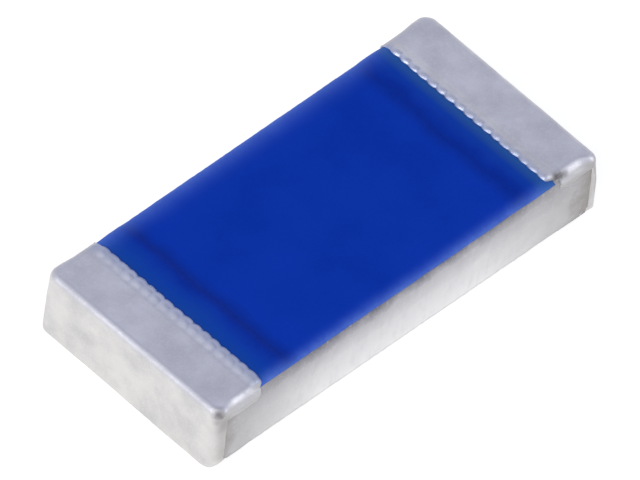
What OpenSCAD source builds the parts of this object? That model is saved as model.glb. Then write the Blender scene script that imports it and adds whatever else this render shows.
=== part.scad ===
// Thick-film chip resistor for surface mounting.
// Length runs along X, width along Y and height along Z. The origin is in the
// middle of the solder plane, so the two terminals stand on Z = 0.

/* [Ceramic] */
// Length of the alumina chip
substrate_l = 3.212; // [2.9:0.002:3.5]
// Width of the alumina chip
substrate_w = 1.484; // [1.3:0.002:1.7]
// Thickness of the alumina chip
substrate_t = 0.466; // [0.36:0.002:0.6]
// Radius of the worn upright corners
corner_r = 0.05; // [0.03:0.005:0.08]
// Radius along the top and bottom of the end faces, and of the edges that are plated
end_edge_r = 0.025; // [0.015:0.005:0.03]
// How far the score it was snapped along cuts in at the long top edges
score_in = 0.01; // [0.004:0.002:0.02]
// How far that score runs down the long sides
score_down = 0.09; // [0.04:0.01:0.15]

/* [Electrodes] */
// Thickness of the fired silver, top and back
electrode_t = 0.015; // [0.01:0.001:0.02]
// From the end of the chip to the inner edge of a top electrode
top_reach = 0.6; // [0.5:0.01:0.75]
// From the end of the chip to the inner edge of a back electrode
back_reach = 0.41; // [0.3:0.01:0.6]
// Bare ceramic left between an electrode and the score beside it
electrode_inset = 0.035; // [0.02:0.005:0.08]

/* [Resistive film] */
// Thickness of the printed element
film_t = 0.012; // [0.008:0.001:0.016]
// Width of the printed element
film_w = 1.1; // [0.9:0.01:1.15]
// How far the element laps onto each top electrode
film_lap = 0.08; // [0.04:0.01:0.1]
// Width of the laser trim cut
trim_w = 0.04; // [0.02:0.005:0.06]
// Where the trim cut enters the element, along X from the middle
trim_x = -0.28; // [-0.5:0.02:0]
// How far the trim cut plunges in from the front edge of the element
trim_in = 0.46; // [0.2:0.02:0.6]
// How far the trim cut then runs along the element
trim_run = 0.5; // [0.2:0.02:0.8]

/* [Coats] */
// Thickness of the glass over the element
glass_t = 0.012; // [0.008:0.001:0.016]
// How far the glass reaches past the element all round
glass_margin = 0.03; // [0.01:0.005:0.04]
// Thickness of the resin over the glass
coat_t = 0.02; // [0.015:0.001:0.03]
// Bare ceramic left between the resin and the score beside it
coat_inset = 0.003; // [0.001:0.001:0.01]
// Height of the resin along its rounded long edges
coat_edge_t = 0.02; // [0.012:0.001:0.024]
// Width of the slope from a long edge up to the full height
coat_edge_run = 0.07; // [0.04:0.01:0.09]
// Thickness of the resin at its ends, under the rims of the terminals
coat_toe_t = 0.004; // [0.002:0.001:0.008]
// How far the resin keeps its full height past the end of the glass
coat_cover = 0.01; // [0.005:0.005:0.03]
// Length of the dip where the resin comes down off an electrode
coat_dip = 0.06; // [0.04:0.01:0.08]

/* [Terminals] */
// Thickness of the film round the end of the chip
edge_film_t = 0.006; // [0.004:0.001:0.01]
// Thickness of the nickel plating
nickel_t = 0.005; // [0.003:0.001:0.008]
// Thickness of the tin plating
tin_t = 0.008; // [0.004:0.001:0.012]
// From the end of the chip to the row of beads on the rim
rim_reach = 0.353; // [0.32:0.001:0.4]
// Length of the ramp from the rim down to the flat of the terminal
rim_run = 0.04; // [0.025:0.005:0.06]
// How far the crest of the rim stands above the resin at the tips of the beads
rim_cover = 0.008; // [0.004:0.001:0.012]
// How far the resin runs under the rim, past the row of beads
rim_lap = 0.012; // [0.006:0.001:0.02]
// Spacing of the beads along the rim
bead_pitch = 0.08; // [0.07:0.005:0.12]
// Radius of a bead before plating
bead_r = 0.03; // [0.02:0.002:0.034]
// How far the terminal wraps from the end onto the long sides
side_wrap = 0.05; // [0.03:0.005:0.12]
// How far the lip over the score reaches from the end along the long sides
lip_reach = 0.33; // [0.22:0.005:0.34]
// How far the lip hangs down from the top of the chip
lip_down = 0.055; // [0.03:0.005:0.12]

/* [Hidden] */
$fn = 48;
// Sides of the chip along X
LEFT = -1;
RIGHT = 1;
// Plated thickness on the chip after each coat
film_out = edge_film_t;
nickel_out = film_out + nickel_t;
tin_out = nickel_out + tin_t;
// Levels
base_z = tin_out + electrode_t;
mid_z = base_z + substrate_t / 2;
top_z = base_z + substrate_t;
pad_z = top_z + electrode_t;
// Half sizes of the chip, of its flat top and of what is printed there
half_l = substrate_l / 2;
half_w = substrate_w / 2;
flat_w = half_w - score_in;
electrode_half_w = flat_w - electrode_inset;
coat_half_w = flat_w - coat_inset;
// Places along X, all on the right-hand half
flat_end_x = half_l - end_edge_r;
gap_x = half_l - top_reach;
film_end_x = gap_x + film_lap;
glass_end_x = film_end_x + glass_margin;
bead_x = half_l - rim_reach;
bead_tip_x = bead_x - bead_r;
coat_end_x = bead_x + rim_lap;
coat_full_x = glass_end_x + coat_cover;
// Heights of the layers over bare ceramic, and over an electrode
glass_top = film_t + glass_t;
coat_top = glass_top + coat_t;
coat_rise = coat_top - coat_toe_t;
tip_share = min(1, (coat_end_x - bead_tip_x) / (coat_end_x - coat_full_x));
tip_height = coat_toe_t + coat_rise * tip_share;
rim_z = pad_z + tip_height + rim_cover;
// Rows of beads that fit across a terminal
bead_count = floor((2 * electrode_half_w - 2 * bead_r) / bead_pitch) + 1;
// Slack for cuts that pass right through
over = 1;

// Rectangle about the origin with round corners
module rounded_rect(l, w, r) {
    square([l - 2 * r, w], center = true);
    square([l, w - 2 * r], center = true);
    for (x = [-1, 1], y = [-1, 1])
        translate([x * (l / 2 - r), y * (w / 2 - r)])
            circle(r);
}

// Stands an X-Z outline up across the chip, to a half width
module across(half) {
    rotate([90, 0, 0])
        linear_extrude(2 * half, center = true)
            children();
}

// Runs a Y-Z outline along the chip, to a half length
module along(half) {
    rotate([90, 0, 90])
        linear_extrude(2 * half, center = true)
            children();
}

// Puts what is drawn for the right-hand end at either end
module at_end(side) {
    if (side == LEFT)
        mirror([1, 0, 0])
            children();
    else
        children();
}

// Block between two X places, with a half width and two levels
module bar(x_from, x_to, half, z_from, z_to) {
    translate([x_from, -half, z_from])
        cube([x_to - x_from, 2 * half, z_to - z_from]);
}

// Alumina chip with round corners and the score along its long top edges
module chip() {
    intersection() {
        across(half_w + over)
            translate([0, mid_z])
                rounded_rect(substrate_l, substrate_t, end_edge_r);
        linear_extrude(top_z + over)
            rounded_rect(substrate_l, substrate_w, corner_r);
        along(half_l + over)
            polygon([
                [-half_w, base_z], [half_w, base_z],
                [half_w, top_z - score_down], [flat_w, top_z],
                [-flat_w, top_z], [-half_w, top_z - score_down]
            ]);
    }
}

// The layers below start on a face of the chip. As cutters they start inside it,
// at from_z or to_z, so that no face of a cutter lies on a face that it cuts.

// Fired silver on the top, right-hand end
module top_pad(from_z = top_z) {
    bar(gap_x, flat_end_x, electrode_half_w, from_z, pad_z);
}

// Fired silver on the back, right-hand end
module back_pad(to_z = base_z) {
    bar(half_l - back_reach, flat_end_x, electrode_half_w, base_z - electrode_t, to_z);
}

// Both top pads
module top_pads(from_z) {
    at_end(LEFT)
        top_pad(from_z);
    at_end(RIGHT)
        top_pad(from_z);
}

// Layer on the ceramic that steps up onto the two electrodes
module stepped_layer(end_x, half, height, from_z = top_z) {
    step_x = gap_x - height;
    across(half)
        polygon([
            [-end_x, from_z], [end_x, from_z],
            [end_x, pad_z + height], [step_x + electrode_t, pad_z + height], [step_x, top_z + height],
            [-step_x, top_z + height], [-step_x - electrode_t, pad_z + height], [-end_x, pad_z + height]
        ]);
}

// Slot with round ends along X from the origin
module slot(l) {
    translate([0, -trim_w / 2])
        square([l, trim_w]);
    for (x = [0, l])
        translate([x, 0])
            circle(trim_w / 2);
}

// Path of the trim cut: a plunge in from the front edge, then a run along the element
module trim_cut() {
    translate([trim_x, -film_w / 2, base_z])
        linear_extrude(substrate_t + over) {
            rotate(90)
                slot(trim_in);
            translate([0, trim_in])
                slot(trim_run);
        }
}

// Outer form of the resin coat, with all that lies under it
module coat_form(from_z = top_z) {
    dip_from = gap_x + coat_dip / 2;
    dip_to = gap_x - coat_dip / 2;
    edge_y = coat_half_w - coat_edge_t;
    edge_z = top_z + coat_edge_t;
    full_y = coat_half_w - coat_edge_run;
    full_z = pad_z + coat_top;
    intersection() {
        across(half_w)
            polygon([
                [-coat_end_x, from_z], [coat_end_x, from_z],
                [coat_end_x, pad_z + coat_toe_t], [coat_full_x, full_z],
                [dip_from, full_z], [dip_to, top_z + coat_top],
                [-dip_to, top_z + coat_top], [-dip_from, full_z],
                [-coat_full_x, full_z], [-coat_end_x, pad_z + coat_toe_t]
            ]);
        along(half_l) {
            polygon([
                [-edge_y, mid_z], [edge_y, mid_z], [edge_y, edge_z], [full_y, full_z],
                [-full_y, full_z], [-edge_y, edge_z]
            ]);
            for (y = [-edge_y, edge_y])
                translate([y, top_z])
                    circle(coat_edge_t);
        }
    }
}

// Block about the origin with round upright corners, and one radius along all other edges
module rounded_block(l, w, h, upright_r, edge_r) {
    in_l = l / 2 - upright_r;
    in_w = w / 2 - upright_r;
    along(in_l)
        rounded_rect(w, h, edge_r);
    across(in_w)
        rounded_rect(l, h, edge_r);
    for (x = [0, 1], y = [0, 1])
        mirror([x, 0, 0])
            mirror([0, y, 0])
                translate([in_l, in_w, 0])
                    rotate_extrude(angle = 90)
                        intersection() {
                            rounded_rect(2 * upright_r, h, edge_r);
                            translate([0, -h / 2])
                                square([upright_r, h]);
                        }
}

// Whole chip and electrodes grown by a plated thickness
module grown_chip(grow) {
    translate([0, 0, mid_z])
        rounded_block(
            substrate_l + 2 * grow,
            substrate_w + 2 * grow,
            substrate_t + 2 * electrode_t + 2 * grow,
            corner_r + grow,
            end_edge_r + grow
        );
}

// Top of a terminal in plan, with a row of beads along its inner border
module beaded_plan(grow, to_x) {
    half = electrode_half_w + grow;
    translate([bead_x - grow, -half])
        square([to_x - bead_x + grow, 2 * half]);
    for (i = [0 : bead_count - 1])
        translate([bead_x, (i - (bead_count - 1) / 2) * bead_pitch])
            circle(bead_r + grow);
}

// Top of a terminal: the flat, the ramp and the rim that laps the resin
module rim(grow) {
    to_x = flat_end_x - corner_r;
    intersection() {
        linear_extrude(top_z + over)
            beaded_plan(grow, to_x);
        across(half_w + over)
            polygon([
                [bead_tip_x - grow, mid_z], [to_x, mid_z], [to_x, pad_z + grow],
                [bead_x + rim_run, pad_z + grow], [bead_x, rim_z + grow],
                [bead_tip_x - grow, rim_z - rim_cover + grow]
            ]);
    }
}

// Right-hand end of the chip as it is once plated to a thickness
module plated_end(grow) {
    end_x = half_l + over;
    intersection() {
        grown_chip(grow);
        union() {
            bar(half_l - side_wrap - grow, end_x, half_w + over, -over, pad_z + over);
            bar(half_l - lip_reach - grow, end_x, half_w + over, top_z - lip_down - grow, pad_z + over);
            bar(half_l - back_reach - grow, end_x, electrode_half_w + grow, -over, mid_z);
        }
    }
    rim(grow);
}

module ceramic_substrate() {
    color("#e6e4de")
        chip();
}

module top_electrode(side) {
    color("#c8c5bb")
        at_end(side)
            top_pad();
}

module back_electrode(side) {
    color("#c8c5bb")
        at_end(side)
            back_pad();
}

module resistive_film() {
    color("#29282b")
        difference() {
            stepped_layer(film_end_x, film_w / 2, film_t);
            top_pads(mid_z);
            trim_cut();
        }
}

module glass_coat() {
    color("#9fb3a6")
        difference() {
            stepped_layer(glass_end_x, film_w / 2 + glass_margin, glass_top);
            stepped_layer(film_end_x, film_w / 2, film_t, mid_z);
            top_pads(mid_z);
            trim_cut();
        }
}

module overcoat() {
    color("#08339f")
        difference() {
            coat_form();
            top_pads(mid_z);
            difference() {
                stepped_layer(glass_end_x, film_w / 2 + glass_margin, glass_top, mid_z);
                trim_cut();
            }
        }
}

module edge_film(side) {
    color("#8f8c88")
        at_end(side)
            difference() {
                plated_end(film_out);
                chip();
                top_pad(mid_z);
                back_pad(mid_z);
                coat_form(mid_z);
            }
}

module nickel_barrier(side) {
    color("#aaa79c")
        at_end(side)
            difference() {
                plated_end(nickel_out);
                plated_end(film_out);
                chip();
                coat_form(mid_z);
            }
}

module tin_plating(side) {
    color("#b9b9c4")
        at_end(side)
            difference() {
                plated_end(tin_out);
                plated_end(nickel_out);
                chip();
                coat_form(mid_z);
            }
}

ceramic_substrate();
top_electrode(LEFT);  // top_electrode_left
top_electrode(RIGHT);  // top_electrode_right
back_electrode(LEFT);  // back_electrode_left
back_electrode(RIGHT);  // back_electrode_right
resistive_film();
glass_coat();
overcoat();
edge_film(LEFT);  // edge_film_left
edge_film(RIGHT);  // edge_film_right
nickel_barrier(LEFT);  // nickel_barrier_left
nickel_barrier(RIGHT);  // nickel_barrier_right
tin_plating(LEFT);  // tin_plating_left
tin_plating(RIGHT);  // tin_plating_right
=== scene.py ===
"""Dressed scene of a blue-coated chip resistor with tinned ends, on a white table.

The chip lies along X with the solder plane at Z = 0. Its front long side faces -Y.
Pieces are shaped in millimetres and scaled to metres when they are finished.
"""
import math

import bmesh
import bpy
from mathutils import Matrix, Vector, noise


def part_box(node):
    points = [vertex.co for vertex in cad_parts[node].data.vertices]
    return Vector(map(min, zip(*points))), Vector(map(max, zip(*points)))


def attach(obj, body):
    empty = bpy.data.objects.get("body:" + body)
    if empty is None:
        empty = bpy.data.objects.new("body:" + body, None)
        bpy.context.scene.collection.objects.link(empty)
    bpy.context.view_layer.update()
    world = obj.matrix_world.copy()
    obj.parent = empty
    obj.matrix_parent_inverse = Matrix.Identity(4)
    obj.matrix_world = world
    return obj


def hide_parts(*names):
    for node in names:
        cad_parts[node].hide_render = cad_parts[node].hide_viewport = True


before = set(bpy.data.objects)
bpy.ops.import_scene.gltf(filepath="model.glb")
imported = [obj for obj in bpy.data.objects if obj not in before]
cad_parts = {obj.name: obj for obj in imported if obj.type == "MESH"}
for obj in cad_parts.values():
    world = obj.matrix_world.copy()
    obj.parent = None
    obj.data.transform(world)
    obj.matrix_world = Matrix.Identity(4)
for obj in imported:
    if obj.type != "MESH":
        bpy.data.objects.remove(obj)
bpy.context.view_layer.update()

MM = 0.001
TINY = 1e-5
LEFT = -1
RIGHT = 1


def box_mm(node):
    """Lowest and highest corner of a CAD node in millimetres."""
    return [[round(place / MM, 6) for place in corner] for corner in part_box(node)]


# Alumina chip
(_, _, CHIP_LOW), (CHIP_L, CHIP_W, CHIP_TOP) = box_mm("ceramic_substrate")
CHIP_CORNER = 0.05
SCORE_IN = 0.01
SCORE_DOWN = 0.09
SCORE_PITCH = 0.055
SCORE_GROOVE = 0.0025
SNAP_RUN = 0.03
HACKLE = 0.005
GRAIN = 0.0018

# Where the snapped face goes smooth under the plating, and over what length
SMOOTH_X = 1.28
SMOOTH_RUN = 0.1

# First and last cut through the chip's mesh on each axis, and their spacing
CHIP_CUTS_X = (-1.52, 1.52, 0.02)
CHIP_CUTS_Y = (-0.689, 0.689, 0.053)
CHIP_CUTS_Z = (0.05, 0.482, 0.016)
CUP_SEAM = 0.004
CUP_LAP = 0.02

# Electrodes, element and glass under the resin
(PAD_IN_X, _, _), (_, PAD_HALF_W, PAD_TOP) = box_mm("top_electrode_right")
_, (GLASS_L, GLASS_W, GLASS_HIGH) = box_mm("glass_coat")
GLASS_STACK = GLASS_HIGH - PAD_TOP
PAD_CLEAR_X = 0.03
PAD_CLEAR_Y = 0.005
GLASS_CLEAR = 0.01
TRIM_X = -0.28
TRIM_Y = -0.09
TRIM_HALF_W = 0.02
TRIM_FOOT_Y = -0.55
TRIM_END_X = 0.22

# Resin coat
_, (COAT_L, COAT_W, COAT_HIGH) = box_mm("overcoat")
COAT_BACK_W = COAT_W + 0.012
COAT_MID = COAT_HIGH - (PAD_TOP - CHIP_TOP)
COAT_TOE = 0.519
COAT_FULL_X = GLASS_L + 0.01
COAT_SKIN = 0.002
DIP_HALF_L = 0.04
EDGE_RUN = 0.085
FRONT_BLUNT = 0.8
BACK_BLUNT = 0.5
COAT_CELLS_X = 240
COAT_CELLS_Y = 140

# Tinned terminals, drawn for the right-hand end, and their layers
(SOLE_X, _, _), (END_X, SIDE_Y, _) = box_mm("tin_plating_right")
_, (NICKEL_X, _, _) = box_mm("nickel_barrier_right")
_, (FILM_X, _, _) = box_mm("edge_film_right")
TIN_T = END_X - NICKEL_X
NICKEL_T = NICKEL_X - FILM_X
FILM_T = FILM_X - CHIP_L
PLATED_T = TIN_T + NICKEL_T + FILM_T
FLAT_Z = PAD_TOP + PLATED_T
SOLE_W = PAD_HALF_W + PLATED_T
SOLE_CLEAR = 0.0003

# Beaded rim that laps the end of the resin
RIM_Z = 0.556
RIM_SAG = 0.003
RAMP_X = 1.326
RAMP_LEAD = 0.006
BEAD_X = 1.253
BEAD_R = 0.049
BEAD_PITCH = 0.08
BEAD_DOME = 0.005
BEAD_SHIFT = 0.016
BEAD_VARIES = 0.8
BEAD_FRONT = 0.042
LAST_BEAD = 8
SCALLOP = {LEFT: 0.006, RIGHT: 0.011}
NOTCH_W = {LEFT: SOLE_W, RIGHT: 0.685}
BACK_RIM_W = 0.64
BACK_RIM_RUN = 0.1
TOE_SUNK = 0.004
# Reach of the painted reflection of the blue resin over the front of the beads
REFLECTED_BLUE_L = {LEFT: 0.12, RIGHT: 0.045}

# Cup round each end: its border on the CAD solid, the sheet's cut and where the metal begins
CUP_X = 1.537
CUP_CUT = 1.505
CUP_START = {LEFT: 1.516, RIGHT: 1.582}
CUP_BORDER_R = {LEFT: 0.03, RIGHT: 0.02}
CUP_WAVER = 0.005

# Lip over the score on the long sides. Its low border runs between two heights
LIP_START = {LEFT: 1.232, RIGHT: 1.313}
BACK_LIP_START = 1.214
LIP_CUT = 0.412
LIP_LOW = {LEFT: (0.430, 0.430), RIGHT: (0.424, 0.442)}
LIP_BLEND_X = 1.38
LIP_BLEND_RUN = 0.2
LIP_CORNER_R = 0.06
LIP_WAVER = 0.004
BORDER_R = 0.015
BEDDED = 0.012

# How the front lip leans back and is set in, and how the back one thins out
FRONT_LEAN = {LEFT: 0.037, RIGHT: 0.038}
LEAN_LOW_Z = 0.43
LEAN_RISE = 0.1
FRONT_IN = {LEFT: 0.0, RIGHT: 0.018}
IN_LOW_Z = 0.38
IN_RISE = 0.06
LEAN_END_X = {LEFT: 1.44, RIGHT: 1.48}
LEAN_FADE = 0.14
BACK_THIN = 0.010
BACK_THIN_RUN = 0.12

# Rounded edges of a terminal. The foot of its end face is tighter towards the front
LONG_EDGE_R = 0.044
END_EDGE_R = 0.057
FOOT_R = 0.09
FRONT_FOOT_R = 0.022
FOOT_TURN_Y = 0.5
END_BLEND = 0.06
CORE_IN = 0.12
HALVINGS = 14

# Radius of each upright corner near the top, half-way down and at the foot
UPRIGHT_R = {
    (LEFT, "back"): (0.085, 0.069, 0.069),
    (LEFT, "front"): (0.069, 0.036, 0.108),
    (RIGHT, "back"): (0.085, 0.069, 0.069),
    (RIGHT, "front"): (0.074, 0.034, 0.034),
}
CORNER_FOOT_Z = 0.05
CORNER_FOOT_RISE = 0.15
CORNER_TOP_Z = 0.27
CORNER_TOP_RISE = 0.22

# Mesh of a terminal's sheet: where it is fine, and its steps
FINE_RIM_X = SOLE_X + 0.05
FINE_EDGE_Y = 0.66
RIM_STEP = 0.004
EDGE_STEP = 0.006
EDGE_STEP_ACROSS = 0.0055
FLAT_STEP = 0.016
FLAT_STEP_ACROSS = 0.008
INNER_COARSE = 2

# Dents at each end with painted shade and some tarnish: top, how far it runs down, radius, depth and
# darkening
DENTS = {
    LEFT: [
        ((1.600, -0.740, 0.518), 0.0, 0.075, 0.009, 0.75),
        ((1.588, -0.745, 0.500), 0.0, 0.045, 0.001, 0.70),
        ((1.603, -0.742, 0.450), 0.0, 0.055, 0.001, 0.35),
        # The last two paint shade down the front of the cup, with no dent
        ((1.562, -0.761, 0.430), 0.05, 0.100, 0.0, 0.40),
        ((1.556, -0.761, 0.380), 0.25, 0.100, 0.0, 0.30),
    ],
    RIGHT: [
        ((1.305, -0.704, 0.522), 0.0, 0.055, 0.002, 0.85),
        ((1.330, -0.708, 0.520), 0.0, 0.055, 0.002, 0.80),
        ((1.362, -0.714, 0.514), 0.0, 0.055, 0.002, 0.50),
    ],
}

# Sky from the table's level up to overhead: height of each stop and its linear colour
SKY = (
    (0.0, (0.68, 0.685, 0.74, 1)),
    (0.3, (0.61, 0.625, 0.745, 1)),
    (0.6, (0.635, 0.65, 0.785, 1)),
    (0.8, (0.69, 0.71, 0.85, 1)),
    (0.95, (0.26, 0.28, 0.40, 1)),
)

# Table: half its width in metres, and how it dims towards the front where metal mirrors it
TABLE_HALF = 0.1
DIM_Y = (-1.33, -1.13)
DIM_SLANT = 0.15
DIM_SHARE = 0.56

# Camera, as found from the edges in the photograph, and its distance in metres
CAMERA_AZIMUTH = -49.67
CAMERA_ELEVATION = 49.28
CAMERA_ROLL = 7.34
CAMERA_FAR = 0.03
PIXELS_PER_MM = 164.82
IMAGE_W = 640
IMAGE_H = 480
ORIGIN_PIXEL = (316.1, 270.4)


def ease(t):
    """Smooth step from 0 to 1."""
    t = min(max(t, 0.0), 1.0)
    return t * t * (3 - 2 * t)


def between(a, b, t):
    return a + (b - a) * t


def rolled(gap, radius):
    """Height of a quarter round, 0 at its border and 1 from the radius inwards."""
    t = min(max(gap / radius, 0.0), 1.0)
    return math.sqrt(1 - (1 - t) ** 2)


def lump(x, y, z, scale, seed):
    """Smooth unevenness between about -1 and 1, with features of that size in mm."""
    return noise.noise(Vector((x, y, z)) / scale + Vector((seed * 7.31, seed * 3.77, seed)))


def ragged(x, y, z, scale, seed):
    """Rough unevenness in three octaves."""
    point = Vector((x, y, z)) / scale + Vector((seed * 5.13, seed, seed * 2.9))
    return noise.fractal(point, 0.9, 2.1, 3)


def steps(first, last, step):
    """Evenly spaced places, both ends included."""
    return [first + i * step for i in range(round((last - first) / step) + 1)]


def cut(bm, axis, places):
    """Cuts the whole mesh by planes across one axis."""
    normal = [0, 0, 0]
    normal[axis] = 1
    for place in places:
        point = [0, 0, 0]
        point[axis] = place
        geom = bm.verts[:] + bm.edges[:] + bm.faces[:]
        bmesh.ops.bisect_plane(bm, geom=geom, dist=TINY, plane_co=point, plane_no=normal)


def split(bm, axis, spacing, coarse):
    """Splits the edges along one axis evenly. spacing(middle) times coarse is the step in mm."""
    groups = {}
    for edge in bm.edges:
        run = edge.verts[1].co - edge.verts[0].co
        length = run.length
        if abs(run[axis]) > 0.999 * length:
            middle = (edge.verts[0].co + edge.verts[1].co) / 2
            count = max(1, round(length / (coarse * spacing(middle))))
            groups.setdefault(count, []).append(edge)
    for count, edges in groups.items():
        if count > 1:
            bmesh.ops.subdivide_edges(bm, edges=edges, cuts=count - 1, use_grid_fill=True)


def block(bm, low, high):
    """Cube between two corners."""
    size = Vector(high) - Vector(low)
    middle = (Vector(high) + Vector(low)) / 2
    matrix = Matrix.Translation(middle) @ Matrix.Diagonal((*size, 1))
    bmesh.ops.create_cube(bm, size=1, matrix=matrix)


def doubled(bm):
    """Lays a second skin on an open one, closed to it at the borders, and gives its vertices."""
    geom = bm.faces[:] + bm.edges[:]
    made = bmesh.ops.extrude_face_region(bm, geom=geom, use_keep_orig=True)
    return {v for v in made["geom"] if isinstance(v, bmesh.types.BMVert)}


def thicken(bm, thickness):
    """Gives an open skin its thickness, inwards, with closed borders."""
    bm.normal_update()
    inward = bm.verts.layers.float_vector.new("inward")
    for v in bm.verts:
        v[inward] = v.normal * -thickness
    for v in doubled(bm):
        v.co += v[inward]
    bm.verts.layers.float_vector.remove(inward)


def placed(name, data):
    """Puts an object with that data into the scene, at the origin."""
    made = bpy.data.objects.new(name, data)
    bpy.context.scene.collection.objects.link(made)
    return made


def mesh_object(bm, name, material):
    """Turns a finished bmesh into an object of that name and material."""
    mesh = bpy.data.meshes.new(name)
    bm.to_mesh(mesh)
    bm.free()
    mesh.materials.append(material)
    return placed(name, mesh)


def finished(bm, name, material, slot, *nodes):
    """Turns a mesh in millimetres into a smooth piece that stands for some CAD nodes."""
    bmesh.ops.recalc_face_normals(bm, faces=bm.faces)
    bmesh.ops.scale(bm, vec=(MM, MM, MM), verts=bm.verts)
    for face in bm.faces:
        face.smooth = True
    piece = mesh_object(bm, name, material)
    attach(piece, "root")
    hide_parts(*nodes)


# Resin coat

def coat_reach(y):
    """Half width of the resin. The far edge reaches further out than the near one."""
    return COAT_W if y < 0 else COAT_BACK_W


def coat_surface(x, y):
    """Top of the resin: a step up onto each electrode and a slope down to its border."""
    ax = abs(x)
    top = between(COAT_MID, COAT_HIGH, ease((ax - PAD_IN_X + DIP_HALF_L) / (2 * DIP_HALF_L)))
    if ax > COAT_FULL_X:
        top = between(COAT_HIGH, COAT_TOE, (ax - COAT_FULL_X) / (COAT_L - COAT_FULL_X))
    across = min(max((abs(y) - coat_reach(y) + EDGE_RUN) / EDGE_RUN, 0.0), 1.0)
    blunt = FRONT_BLUNT if y < 0 else BACK_BLUNT
    return CHIP_TOP + (top - CHIP_TOP) * (1 - across ** 2) ** blunt


def in_trim_cut(x, y):
    """True where the trim cut goes through the glass."""
    plunge = abs(x - TRIM_X) < TRIM_HALF_W and TRIM_FOOT_Y < y < TRIM_Y + TRIM_HALF_W
    run = abs(y - TRIM_Y) < TRIM_HALF_W and TRIM_X < x < TRIM_END_X
    return plunge or run


def coat_underside(x, y):
    """Top of the layers that the resin covers."""
    ax, ay = abs(x), abs(y)
    on_pad = ax > PAD_IN_X - PAD_CLEAR_X and ay < PAD_HALF_W + PAD_CLEAR_Y
    on_glass = ax < GLASS_L + GLASS_CLEAR and ay < GLASS_W + GLASS_CLEAR
    floor = PAD_TOP if on_pad else CHIP_TOP
    return floor + GLASS_STACK if on_glass and not in_trim_cut(x, y) else floor


def resin_coat(material):
    bm = bmesh.new()
    bmesh.ops.create_grid(bm, x_segments=COAT_CELLS_X, y_segments=COAT_CELLS_Y, size=1)
    lower = doubled(bm)
    for v in bm.verts:
        x = v.co.x * COAT_L
        waver = 0.003 * lump(x, v.co.y, 0, 0.11, 2) + 0.002 * lump(x, v.co.y, 0, 0.03, 3)
        y = v.co.y * (coat_reach(v.co.y) + waver)
        floor = coat_underside(x, y)
        if v in lower:
            v.co = (x, y, floor)
        else:
            swell = 0.0012 * lump(x, y, 0, 0.32, 1) + 0.0004 * lump(x, y, 0, 0.07, 4)
            v.co = (x, y, max(coat_surface(x, y) + swell, floor + COAT_SKIN))
    finished(bm, "resin_coat", material, "blue_resin", "overcoat")


# Alumina chip

def snapped_depth(x, z, side):
    """How far the snapped long side lies behind its highest points."""
    hackle = 0.5 + 0.5 * ragged(x * 1.6, side, z * 0.7, 0.09, 5)
    grain = 0.5 + 0.5 * lump(x, side, z, 0.02, 6)
    groove = 0.5 + 0.5 * math.cos(2 * math.pi * x / SCORE_PITCH + 2 * lump(x, 0, 0, 0.2, 8))
    share = ease((CHIP_TOP - SCORE_DOWN - z) / SNAP_RUN)
    return between(SCORE_GROOVE * groove, HACKLE * hackle + GRAIN * grain, share)


def alumina_chip(material):
    bm = bmesh.new()
    block(bm, (-CHIP_L, -CHIP_W, CHIP_LOW), (CHIP_L, CHIP_W, CHIP_TOP))
    ends = [e for e in bm.edges if abs(e.verts[0].co.x - e.verts[1].co.x) < TINY]
    bmesh.ops.bevel(bm, geom=ends, offset=CHIP_CORNER, offset_type="OFFSET", affect="EDGES",
                    segments=4, profile=0.5, material=-1)
    beside_cup = [end * (CUP_X + gap) for gap in (-CUP_SEAM, CUP_SEAM) for end in (RIGHT, LEFT)]
    cut(bm, 0, steps(*CHIP_CUTS_X) + beside_cup)
    cut(bm, 2, steps(*CHIP_CUTS_Z))
    cut(bm, 1, steps(*CHIP_CUTS_Y))
    for v in bm.verts:
        x, y, z = v.co
        if abs(y) > CHIP_W - TINY:
            side = math.copysign(1, y)
            score = SCORE_IN * ease((z - CHIP_TOP + SCORE_DOWN) / SCORE_DOWN) if y < 0 else 0.0
            rough = 1 - ease((abs(x) - SMOOTH_X) / SMOOTH_RUN)
            v.co.y = side * (CHIP_W - score - rough * snapped_depth(x, z, side))
        end = RIGHT if x > 0 else LEFT
        under_lip = abs(x) > LIP_START[end] and z > LIP_CUT
        if under_lip or abs(x) > CUP_START[end] - CUP_LAP:
            kept = rounded_end(Vector((abs(x), v.co.y, z)), end, PLATED_T)
            v.co = (end * kept.x, kept.y, kept.z)
    finished(bm, "alumina_chip", material, "alumina", "ceramic_substrate")


# Tinned terminals

def bead_near(y, side):
    """Distance across to the middle of the nearest bead, 0 to 1, and that bead's size."""
    i = min(max(round(y / BEAD_PITCH), -LAST_BEAD), LAST_BEAD)
    shift = BEAD_SHIFT * lump(i * 0.37, side, 0.2, 0.3, 11)
    size = 1 + BEAD_VARIES * lump(i * 0.41, 0.3, side, 0.3, 12)
    return min(abs(y - i * BEAD_PITCH - shift) / (BEAD_PITCH / 2), 1.0), size


def rim_border(y, side):
    """Place along X of the scalloped border that laps the resin."""
    away, size = bead_near(y, side)
    return BEAD_X - BEAD_R + SCALLOP[side] * away ** 2 * size


def plate_height(x, y, side):
    """Top of a terminal before its borders are rolled down."""
    away, size = bead_near(y, side)
    share = 1 - ease((x - BEAD_X + RAMP_LEAD) / (RAMP_X - BEAD_X))
    dome = (1 - away ** 2) * size
    return FLAT_Z + share * (RIM_Z - FLAT_Z - RIM_SAG + BEAD_DOME * dome)


def lip_start(y, side):
    """Where the metal begins at a long side, over the score."""
    return BACK_LIP_START if y > 0 else LIP_START[side]


def side_reach(point, side):
    """Half width of a terminal, with its leaning front lip and its thinner back one."""
    if point.y > 0:
        share = ease((point.x - LIP_BLEND_X) / BACK_THIN_RUN)
        return between(SIDE_Y - BACK_THIN, SIDE_Y, share)
    lean = FRONT_LEAN[side] * ease((point.z - LEAN_LOW_Z) / LEAN_RISE)
    lean += FRONT_IN[side] * ease((point.z - IN_LOW_Z) / IN_RISE)
    return SIDE_Y - lean * (1 - ease((point.x - LEAN_END_X[side]) / LEAN_FADE))


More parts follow.
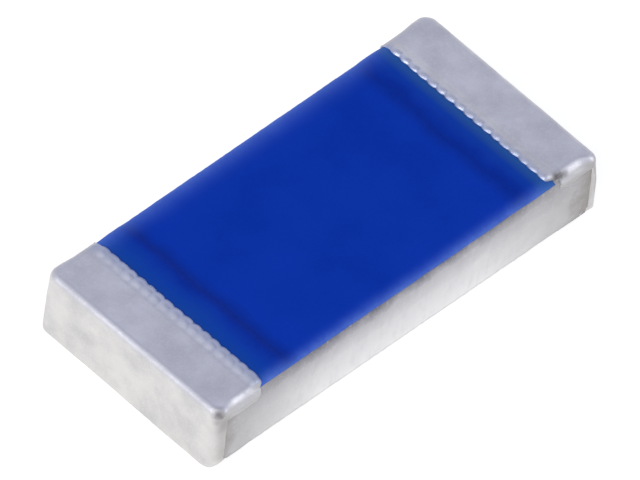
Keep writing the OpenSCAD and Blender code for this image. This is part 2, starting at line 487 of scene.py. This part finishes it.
def rounded_gap(across, along, radius):
    """Signed distance to a rounded corner whose two sides lie that far away."""
    a, b = across + radius, along + radius
    return math.hypot(max(a, 0), max(b, 0)) + min(max(a, b), 0) - radius


def edge_radius(point):
    """Radius of the top and bottom edges, which changes towards the end."""
    at_end = ease((point.x - CUP_X) / END_BLEND)
    if point.z > FLAT_Z / 2:
        return between(LONG_EDGE_R, END_EDGE_R, at_end)
    forward = ease((FOOT_TURN_Y - point.y) / (2 * FOOT_TURN_Y))
    return between(LONG_EDGE_R, FRONT_FOOT_R, at_end * forward)


def upright_radius(point, side):
    """Radius of the upright corner that is nearest, at that height."""
    at_top, midway, at_foot = UPRIGHT_R[side, "back" if point.y > 0 else "front"]
    lower = between(at_foot, midway, ease((point.z - CORNER_FOOT_Z) / CORNER_FOOT_RISE))
    return between(lower, at_top, ease((point.z - CORNER_TOP_Z) / CORNER_TOP_RISE))


def outside_end(point, side):
    """Signed distance to the rounded outside of a terminal."""
    dx = point.x - END_X
    dy = abs(point.y) - side_reach(point, side)
    dz = abs(point.z - FLAT_Z / 2) - FLAT_Z / 2
    plan = rounded_gap(dx, dy, upright_radius(point, side))
    foot_r = between(LONG_EDGE_R, FOOT_R, ease((point.x - CUP_X + END_BLEND) / END_BLEND))
    return max(rounded_gap(plan, dz, edge_radius(point)), rounded_gap(dy, -point.z, foot_r))


def rounded_end(point, side, depth=0.0):
    """Carries a point of the square outside in to the rounded form, or to a depth below it."""
    core = Vector((
        min(point.x, END_X - CORE_IN),
        min(max(point.y, CORE_IN - SIDE_Y), SIDE_Y - CORE_IN),
        min(max(point.z, CORE_IN), FLAT_Z - CORE_IN),
    ))
    if outside_end(point, side) < TINY - depth:
        return point
    near, far = 0.0, 1.0
    for _ in range(HALVINGS):
        share = (near + far) / 2
        if outside_end(core.lerp(point, share), side) > -depth:
            far = share
        else:
            near = share
    return core.lerp(point, near)


def drawn_in(x, start):
    """Moves the border of the square outside to where the metal begins there."""
    eased_x = RAMP_X + 2 * max(start - BEAD_X, 0.0)
    return x if x > eased_x else between(start, eased_x, (x - SOLE_X) / (eased_x - SOLE_X))


def on_top(point, side):
    """Carries a point of the square top to the flat, the ramp and the rim that laps the resin."""
    x, y, _ = point
    notch_w = SOLE_W if y > 0 else NOTCH_W[side]
    outer = ease((abs(y) - notch_w) / (SIDE_Y - SOLE_W))
    border = between(rim_border(y, side), lip_start(y, side), outer)
    place = rounded_end(Vector((drawn_in(x, border), y, FLAT_Z)), side)
    at_border = ease((abs(y) - BACK_RIM_W) / BACK_RIM_RUN) if y > 0 else outer
    lift = (plate_height(place.x, y, side) - FLAT_Z) * (1 - at_border)
    toe = (coat_surface(place.x, place.y) if place.x < COAT_L else CHIP_TOP) - TOE_SUNK
    share = rolled(place.x - border, between(BEAD_FRONT, BORDER_R, outer))
    place.z = between(min(toe, place.z), place.z + lift, share)
    return place


def on_side(point, side):
    """Carries a point of a square long side to the cup or the lip."""
    x, y, z = point
    start = lip_start(y, side)
    lip_x = drawn_in(x, start)
    place = rounded_end(Vector((lip_x, y, z)), side)
    low_z = between(*LIP_LOW[side], ease((lip_x - LIP_BLEND_X) / LIP_BLEND_RUN))
    below = low_z - z + LIP_WAVER * lump(x, y, 0, 0.06, 33)
    lip_gap = -rounded_gap(start - lip_x, below, LIP_CORNER_R)
    cup_gap = x - CUP_START[side] - CUP_WAVER * lump(z, y, side, 0.08, 34)
    share = max(rolled(cup_gap, CUP_BORDER_R[side]), rolled(lip_gap, BORDER_R))
    low = min(abs(place.y), CHIP_W) - BEDDED
    place.y = math.copysign(between(low, abs(place.y), share), y)
    return place


def under_sole(point, side):
    """Carries a point of the square underside to the sole."""
    x, y, _ = point
    place = rounded_end(point, side)
    gap = max(x - CUP_X, min(x - SOLE_X, SOLE_W - abs(y)))
    place.z += CHIP_LOW * (1 - rolled(gap, BORDER_R))
    return place


def terminal_point(point, side):
    """Carries a point of the square outside to the plated form."""
    if point.z > FLAT_Z - TINY:
        return on_top(point, side)
    if point.z < TINY:
        return under_sole(point, side)
    if abs(point.y) > SIDE_Y - TINY:
        return on_side(point, side)
    return rounded_end(point, side)


def is_plated(face):
    """True for those faces of the square outside that carry metal."""
    x, y, z = face.calc_center_median()
    if abs(y) > SIDE_Y - TINY:
        return x > CUP_CUT or z > LIP_CUT
    if z < TINY:
        return abs(y) < SOLE_W or x > CUP_X
    return x > SOLE_X + TINY


def step_along(point):
    if point.x < FINE_RIM_X:
        return RIM_STEP
    return EDGE_STEP if point.x < RAMP_X or point.x > CUP_CUT else FLAT_STEP


def step_across(point):
    return EDGE_STEP_ACROSS if abs(point.y) > FINE_EDGE_Y else FLAT_STEP_ACROSS


def step_up(point):
    return EDGE_STEP if point.z < CORE_IN or point.z > LIP_CUT else FLAT_STEP


def plated_sheet(side, coarse):
    """Open sheet over the outside of a terminal, drawn at the right-hand end."""
    bm = bmesh.new()
    block(bm, (SOLE_X, -SIDE_Y, 0), (END_X, SIDE_Y, FLAT_Z))
    cut(bm, 0, [FINE_RIM_X, RAMP_X, CUP_CUT, CUP_X])
    cut(bm, 1, [-SOLE_W, -FINE_EDGE_Y, FINE_EDGE_Y, SOLE_W])
    cut(bm, 2, [CORE_IN, LIP_CUT])
    bare = [f for f in bm.faces if not is_plated(f)]
    bmesh.ops.delete(bm, geom=bare, context="FACES")
    for axis, spacing in enumerate((step_along, step_across, step_up)):
        split(bm, axis, spacing, coarse)
    for v in bm.verts:
        v.co = terminal_point(v.co.copy(), side)
    bm.normal_update()
    for v in bm.verts:
        uneven = 0.0014 * lump(*v.co, 0.16, 20 + side) + 0.0006 * lump(*v.co, 0.035, 24 + side)
        v.co += v.normal * uneven
        v.co.z = max(v.co.z, SOLE_CLEAR)
    return bm


def dent(bm, side):
    """Presses the dents in and marks them with painted shade and some tarnish for the finish."""
    worn = bm.verts.layers.float.new("worn")
    for (x, y, top), run, radius, depth, darkening in DENTS[side]:
        for v in bm.verts:
            middle = Vector((x, y, min(max(v.co.z, top - run), top)))
            near = ease(1 - (v.co - middle).length / radius)
            v[worn] = max(v[worn], darkening * near)
            v.co -= v.normal * depth * near


def mark_reflected_blue(bm, side):
    """Marks the front of the beads for a painted reflection of the resin's blue that also dims them.
    """
    rim = bm.verts.layers.float.new("rim")
    for v in bm.verts:
        if v.co.z > CHIP_TOP and abs(v.co.y) < SIDE_Y - LONG_EDGE_R:
            v[rim] = 1 - ease((v.co.x - rim_border(v.co.y, side)) / REFLECTED_BLUE_L[side])


def sink(bm, depth):
    """Moves a sheet inwards along its normals."""
    bm.normal_update()
    for v in bm.verts:
        v.co -= v.normal * depth


def draw_back(bm):
    """Takes one ring of faces off the borders of a sheet."""
    border = {f for e in bm.edges if e.is_boundary for v in e.verts for f in v.link_faces}
    bmesh.ops.delete(bm, geom=list(border), context="FACES")


def terminal_layer(name, side, material, slot, node, depth, thickness, coarse):
    """One skin of a terminal, that far below its outside."""
    bm = plated_sheet(side, coarse)
    dent(bm, side)
    mark_reflected_blue(bm, side)
    if depth > 0:
        draw_back(bm)
    sink(bm, depth)
    thicken(bm, thickness)
    if side == LEFT:
        bmesh.ops.scale(bm, vec=(-1, 1, 1), verts=bm.verts)
    finished(bm, name, material, slot, node)


# Finishes

class Finish:
    """A node material that is built up from its surface pattern."""

    def __init__(self, name):
        self.material = bpy.data.materials.new(name)
        self.material.use_nodes = True
        self.tree = self.material.node_tree
        self.surface = self.tree.nodes["Principled BSDF"]
        self.place = self.node("ShaderNodeTexCoord").outputs["Object"]

    def node(self, kind, inputs=None, **settings):
        made = self.tree.nodes.new(kind)
        for key, value in settings.items():
            setattr(made, key, value)
        for key, value in (inputs or {}).items():
            self.join(value, made.inputs[key])
        return made

    def join(self, value, socket):
        if isinstance(value, bpy.types.NodeSocket):
            self.tree.links.new(value, socket)
        else:
            socket.default_value = value

    def set(self, **values):
        """Sets inputs of the surface, with _ for each space in a name."""
        for key, value in values.items():
            self.join(value, self.surface.inputs[key.replace("_", " ")])

    def axes(self):
        """Place on the part along X, Y and Z."""
        return self.node("ShaderNodeSeparateXYZ", {"Vector": self.place}).outputs[:3]

    def stretched(self, scale):
        inputs = {"Vector": self.place, "Scale": scale}
        return self.node("ShaderNodeMapping", inputs).outputs["Vector"]

    def mark(self, name):
        """Mark that the mesh carries for its finish."""
        return self.node("ShaderNodeAttribute", attribute_name=name).outputs["Fac"]

    def speckle(self, size, detail=3.0, roughness=0.55, place=None):
        """Noise with features of that size in mm."""
        return self.node("ShaderNodeTexNoise", {
            "Vector": place or self.place, "Scale": 1 / (size * MM), "Detail": detail,
            "Roughness": roughness}).outputs["Fac"]

    def spread(self, value, low, high, from_low=0.3, from_high=0.7):
        return self.node("ShaderNodeMapRange", {
            "Value": value, "From Min": from_low, "From Max": from_high,
            "To Min": low, "To Max": high}).outputs["Result"]

    def ramp(self, value, start, end, low=0.0, high=1.0):
        """Runs from low to high between two places in mm."""
        return self.spread(value, low, high, start * MM, end * MM)

    def waver(self, size, detail, reach):
        """Wandering distance of up to that reach in mm."""
        return self.spread(self.speckle(size, detail), -reach * MM, reach * MM)

    def maths(self, kind, *values):
        """One step of arithmetic on patterns and numbers."""
        inputs = dict(enumerate(values))
        return self.node("ShaderNodeMath", inputs, operation=kind).outputs["Value"]

    def blend(self, share, a, b):
        mixer = self.node("ShaderNodeMix", data_type="RGBA")
        self.join(share, mixer.inputs[0])
        self.join(a, mixer.inputs[6])
        self.join(b, mixer.inputs[7])
        return mixer.outputs[2]

    def relief(self, height, depth, under=None):
        """Bump of that depth in micrometres."""
        inputs = {"Height": height, "Strength": 1.0, "Distance": depth * 1e-6}
        if under:
            inputs["Normal"] = under
        return self.node("ShaderNodeBump", inputs).outputs["Normal"]

    def diffuse(self, shade):
        return self.node("ShaderNodeBsdfDiffuse", {"Color": shade}).outputs[0]

    def glowing(self, shade, tint, glow):
        """Diffuse paper of that shade with a glow of its own."""
        light = self.node("ShaderNodeEmission", {"Color": tint, "Strength": glow})
        added = {0: self.diffuse(shade), 1: light.outputs[0]}
        return self.node("ShaderNodeAddShader", added).outputs[0]

    def either(self, share, a, b):
        """Surface a, or b where the share is 1."""
        return self.node("ShaderNodeMixShader", {0: share, 1: a, 2: b}).outputs[0]


def colour(red, green, blue):
    """Linear colour from 8-bit screen values."""
    def linear(value):
        value /= 255
        return value / 12.92 if value <= 0.04045 else ((value + 0.055) / 1.055) ** 2.4
    return (linear(red), linear(green), linear(blue), 1)


def tin_finish(name, pale, dull):
    """Matt plated tin: cloudy tone, fine crystal grain, painted blue reflection at the rim, painted
    shade and tarnish in dents.
    """
    f = Finish(name)
    cloud = f.spread(f.speckle(0.22, 4), 0, 1, 0.35, 0.65)
    grain = f.speckle(0.012, 2)
    shade = f.blend(cloud, dull, pale)
    fleck = f.spread(grain, 0, 0.35, 0.5, 0.75)
    shade = f.blend(fleck, shade, colour(236, 236, 238))
    # Painted reflection of the blue resin on the fronts of the beads, which also dims their
    # highlights
    shade = f.blend(f.maths("MULTIPLY", f.mark("rim"), 0.6), shade, colour(160, 176, 212))
    # Painted shade in the dents, in the notches by the lip and down the front corner, with some
    # tarnish; it roughens the tin there too
    worn = f.mark("worn")
    shade = f.blend(f.maths("MULTIPLY", worn, 0.95), shade, colour(104, 97, 92))
    rough = f.spread(f.maths("ADD", cloud, grain), 0.56, 0.42, 0.4, 1.4)
    rough = f.maths("ADD", rough, f.maths("MULTIPLY", worn, 0.4))
    relief = f.relief(f.speckle(0.05, 3), 1.1, f.relief(grain, 0.5))
    f.set(Base_Color=shade, Roughness=rough, Normal=relief, Metallic=1.0)
    return f.material


def resin_finish():
    """Printed blue resin: deeper, with painted shade, at the electrode steps, thinner at its
    borders, and with painted sheen.
    """
    f = Finish("blue_resin")
    x, y, _ = f.axes()
    ax = f.maths("ADD", f.maths("ABSOLUTE", x), f.waver(0.3, 3, 0.03))
    ay = f.maths("ADD", f.maths("ABSOLUTE", y), f.waver(0.12, 3, 0.012))
    cloud = f.spread(f.speckle(0.5, 4), 0, 1)
    body = f.blend(cloud, colour(2, 48, 156), colour(8, 52, 165))
    # Darker where the resin pools at the electrode steps, partly painted shade of the steps
    pooled_and_shaded = f.maths("MULTIPLY", f.ramp(ax, 0.90, 1.0), f.ramp(ax, 1.0, 1.10, 1, 0))
    body = f.blend(f.maths("MULTIPLY", pooled_and_shaded, 0.85), body, colour(9, 38, 128))
    body = f.blend(f.ramp(ax, 1.04, 1.20), body, colour(20, 66, 146))
    front = f.ramp(f.maths("SUBTRACT", ay, y), 1.20, 1.47)
    body = f.blend(f.maths("POWER", front, 4.5), body, colour(92, 126, 206))
    # Lighter along the far edge: painted sheen, and thinner resin at the very border
    back = f.ramp(f.maths("ADD", ay, y), 1.0, 1.49)
    body = f.blend(f.maths("POWER", back, 3.6), body, colour(96, 132, 218))
    # Painted sheen on the slope down to the right-hand terminal only
    body = f.blend(f.ramp(x, 1.11, 1.19, 0, 0.5), body, colour(52, 106, 160))
    grain = f.speckle(0.02, 3)
    body = f.blend(f.spread(grain, 0, 0.2), body, colour(14, 62, 172))
    relief = f.relief(f.speckle(0.09, 2), 0.8, f.relief(grain, 0.35))
    rough = f.spread(f.speckle(0.06, 3), 0.36, 0.5)
    f.set(Base_Color=body, Roughness=rough, Normal=relief, Specular_IOR_Level=0.03)
    return f.material


def alumina_finish():
    """Bare white alumina: chalky grain, painted light low down, painted shade up top and beside the
    plating, some brown stain.
    """
    f = Finish("white_alumina")
    x, _, z = f.axes()
    waver = f.waver(0.16, 4, 0.02)
    height = f.maths("ADD", z, waver)
    ax = f.maths("ADD", f.maths("ABSOLUTE", x), f.maths("MULTIPLY", waver, 3.0))
    ribs = f.speckle(0.05, 4, 0.6, f.stretched((1, 1, 0.35)))
    grain = f.speckle(0.015, 3)
    # Painted light and shade by height: bright low down as if lit from the table, greyer higher up,
    # and a painted shadow under the resin's edge at the top
    body = f.blend(f.ramp(height, 0.04, 0.30), colour(249, 248, 241), colour(226, 224, 218))
    body = f.blend(f.ramp(height, 0.28, 0.44), body, colour(190, 188, 187))
    body = f.blend(f.ramp(height, 0.42, 0.50), body, colour(118, 117, 123))
    # Painted shade, greyer towards the ends beside the plating
    body = f.blend(f.ramp(ax, 0.7, 1.45, 0, 0.8), body, colour(180, 178, 173))
    # Painted shade with some brown stain, darker just beside the cups
    body = f.blend(f.ramp(ax, 1.40, 1.54, 0, 0.75), body, colour(156, 150, 140))
    body = f.blend(f.spread(ribs, 0, 0.22, 0.5, 0.75), body, colour(200, 197, 192))
    body = f.blend(f.spread(grain, 0, 0.25, 0.55, 0.75), body, colour(250, 249, 246))
    relief = f.relief(ribs, 2.2, f.relief(grain, 0.9))
    rough = f.spread(grain, 0.62, 0.82)
    f.set(Base_Color=body, Roughness=rough, Normal=relief, Specular_IOR_Level=0.35)
    return f.material


def layer_finish(name, dark, light, size, metallic, roughness):
    """Fired or plated layer held inside: two tones of grain."""
    f = Finish(name)
    grain = f.speckle(size, 4)
    f.set(Base_Color=f.blend(f.spread(grain, 0, 1), dark, light), Metallic=metallic)
    f.set(Roughness=f.spread(grain, roughness - 0.08, roughness + 0.08))
    f.set(Normal=f.relief(grain, 0.5))
    return f.material


def dress_nodes(wanted):
    """Gives the CAD nodes whose names start so their finish."""
    for name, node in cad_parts.items():
        for start, material in wanted.items():
            if name.startswith(start):
                node.data.materials.clear()
                node.data.materials.append(material)


# Table, light and camera

def table_finish():
    """White paper: evenly white to the camera, dimmer towards the front where metal mirrors it."""
    f = Finish("white_table")
    x, y, _ = f.axes()
    paper = f.spread(f.speckle(2.0, 3), 0, 1)
    paper = f.diffuse(f.blend(paper, colour(240, 239, 237), colour(246, 245, 243)))
    behind = f.maths("SUBTRACT", y, f.maths("MULTIPLY", x, DIM_SLANT))
    bright = f.ramp(behind, *DIM_Y, DIM_SHARE, 1.0)
    reflected = f.glowing(f.maths("MULTIPLY", bright, 0.32), (1, 0.97, 0.88, 1),
                          f.maths("MULTIPLY", bright, 0.78))
    seen = f.glowing((0.42, 0.42, 0.42, 1), (1, 1, 1, 1), 0.74)
    ray = f.node("ShaderNodeLightPath").outputs
    mirrored = f.maths("MAXIMUM", ray["Is Glossy Ray"], ray["Is Transmission Ray"])
    surface = f.either(ray["Is Camera Ray"], f.either(mirrored, paper, reflected), seen)
    f.join(surface, f.tree.nodes["Material Output"].inputs["Surface"])
    f.tree.nodes.remove(f.surface)
    return f.material


def white_table():
    bm = bmesh.new()
    bmesh.ops.create_grid(bm, x_segments=8, y_segments=8, size=TABLE_HALF)
    mesh_object(bm, "white_table", table_finish())


def soft_world():
    """Pale low round the table, dimmer and cooler above, and white where the camera sees it."""
    world = bpy.data.worlds.new("soft_studio")
    bpy.context.scene.world = world
    world.use_nodes = True
    nodes = world.node_tree.nodes
    join = world.node_tree.links.new
    sky = nodes["Background"]
    direction = nodes.new("ShaderNodeTexCoord")
    axes = nodes.new("ShaderNodeSeparateXYZ")
    join(direction.outputs["Generated"], axes.inputs["Vector"])
    ramp = nodes.new("ShaderNodeValToRGB")
    join(axes.outputs["Z"], ramp.inputs["Fac"])
    stops = ramp.color_ramp.elements
    stops.remove(stops[1])
    stops[0].position, stops[0].color = SKY[0]
    for height, tint in SKY[1:]:
        stops.new(height).color = tint
    join(ramp.outputs["Color"], sky.inputs["Color"])
    plain = nodes.new("ShaderNodeBackground")
    plain.inputs["Color"].default_value = (1, 1, 1, 1)
    ray = nodes.new("ShaderNodeLightPath")
    mixed = nodes.new("ShaderNodeMixShader")
    join(ray.outputs["Is Camera Ray"], mixed.inputs[0])
    join(sky.outputs[0], mixed.inputs[1])
    join(plain.outputs[0], mixed.inputs[2])
    join(mixed.outputs[0], nodes["World Output"].inputs["Surface"])


def soft_lamp(name, toward, distance, size, power, tint):
    """Round lamp in that direction, turned to the part. Its distance and size are in metres."""
    lamp = bpy.data.lights.new(name, "AREA")
    lamp.shape = "DISK"
    lamp.size = size
    lamp.energy = power
    lamp.color = tint
    holder = placed(name, lamp)
    direction = Vector(toward).normalized()
    holder.location = direction * distance
    holder.rotation_euler = direction.to_track_quat("Z", "Y").to_euler()


def camera():
    azimuth = math.radians(CAMERA_AZIMUTH)
    elevation = math.radians(CAMERA_ELEVATION)
    roll = math.radians(CAMERA_ROLL)
    forward = math.cos(elevation)
    back = Vector((math.sin(azimuth) * forward, -math.cos(azimuth) * forward, math.sin(elevation)))
    level = Vector((0, 0, 1)).cross(back).normalized()
    upright = back.cross(level)
    right = level * math.cos(roll) + upright * math.sin(roll)
    up = upright * math.cos(roll) - level * math.sin(roll)
    data = bpy.data.cameras.new("camera")
    data.type = "ORTHO"
    data.ortho_scale = IMAGE_W / PIXELS_PER_MM * MM
    data.clip_start = 0.001
    data.clip_end = 1
    holder = placed("camera", data)
    aside = (IMAGE_W / 2 - ORIGIN_PIXEL[0]) / PIXELS_PER_MM * MM
    above = (ORIGIN_PIXEL[1] - IMAGE_H / 2) / PIXELS_PER_MM * MM
    turn = Matrix((right, up, back)).transposed().to_4x4()
    place = right * aside + up * above + back * CAMERA_FAR
    holder.matrix_world = Matrix.Translation(place) @ turn
    bpy.context.scene.camera = holder


bpy.context.scene.view_settings.view_transform = "Standard"

tin = tin_finish("matt_tin", colour(224, 224, 226), colour(208, 208, 211))
nickel = layer_finish("plated_nickel", colour(158, 154, 142), colour(182, 178, 166), 0.03, 1.0, 0.35)
film = layer_finish("edge_film", colour(128, 124, 118), colour(154, 150, 144), 0.015, 0.8, 0.5)
silver = layer_finish("fired_silver", colour(176, 172, 162), colour(206, 203, 194), 0.02, 1.0, 0.45)
element = layer_finish("printed_element", colour(30, 29, 32), colour(50, 48, 52), 0.012, 0.0, 0.6)
glass = layer_finish("cover_glass", colour(146, 168, 154), colour(172, 190, 178), 0.04, 0.0, 0.25)

resin_coat(resin_finish())
alumina_chip(alumina_finish())
for side, end in ((LEFT, "left"), (RIGHT, "right")):
    terminal_layer("tin_skin_" + end, side, tin, "tin", "tin_plating_" + end, 0, TIN_T, 1)
    terminal_layer("nickel_skin_" + end, side, nickel, "nickel", "nickel_barrier_" + end,
                   TIN_T, NICKEL_T, INNER_COARSE)
    terminal_layer("film_skin_" + end, side, film, "edge_film", "edge_film_" + end,
                   TIN_T + NICKEL_T, FILM_T, INNER_COARSE)
dress_nodes({
    "top_electrode": silver,
    "back_electrode": silver,
    "resistive_film": element,
    "glass_coat": glass,
})

white_table()
soft_world()
soft_lamp("key_softbox", (-0.85, -0.25, 0.7), 0.05, 0.04, 0.010, (1.0, 0.985, 0.96))
soft_lamp("edge_softbox", (-0.757, 0.422, 0.497), 0.06, 0.04, 0.0016, (1.0, 0.98, 0.92))
soft_lamp("front_softbox", (0.497, -0.757, 0.421), 0.06, 0.03, 0.0048, (1.0, 1.0, 0.99))
camera()
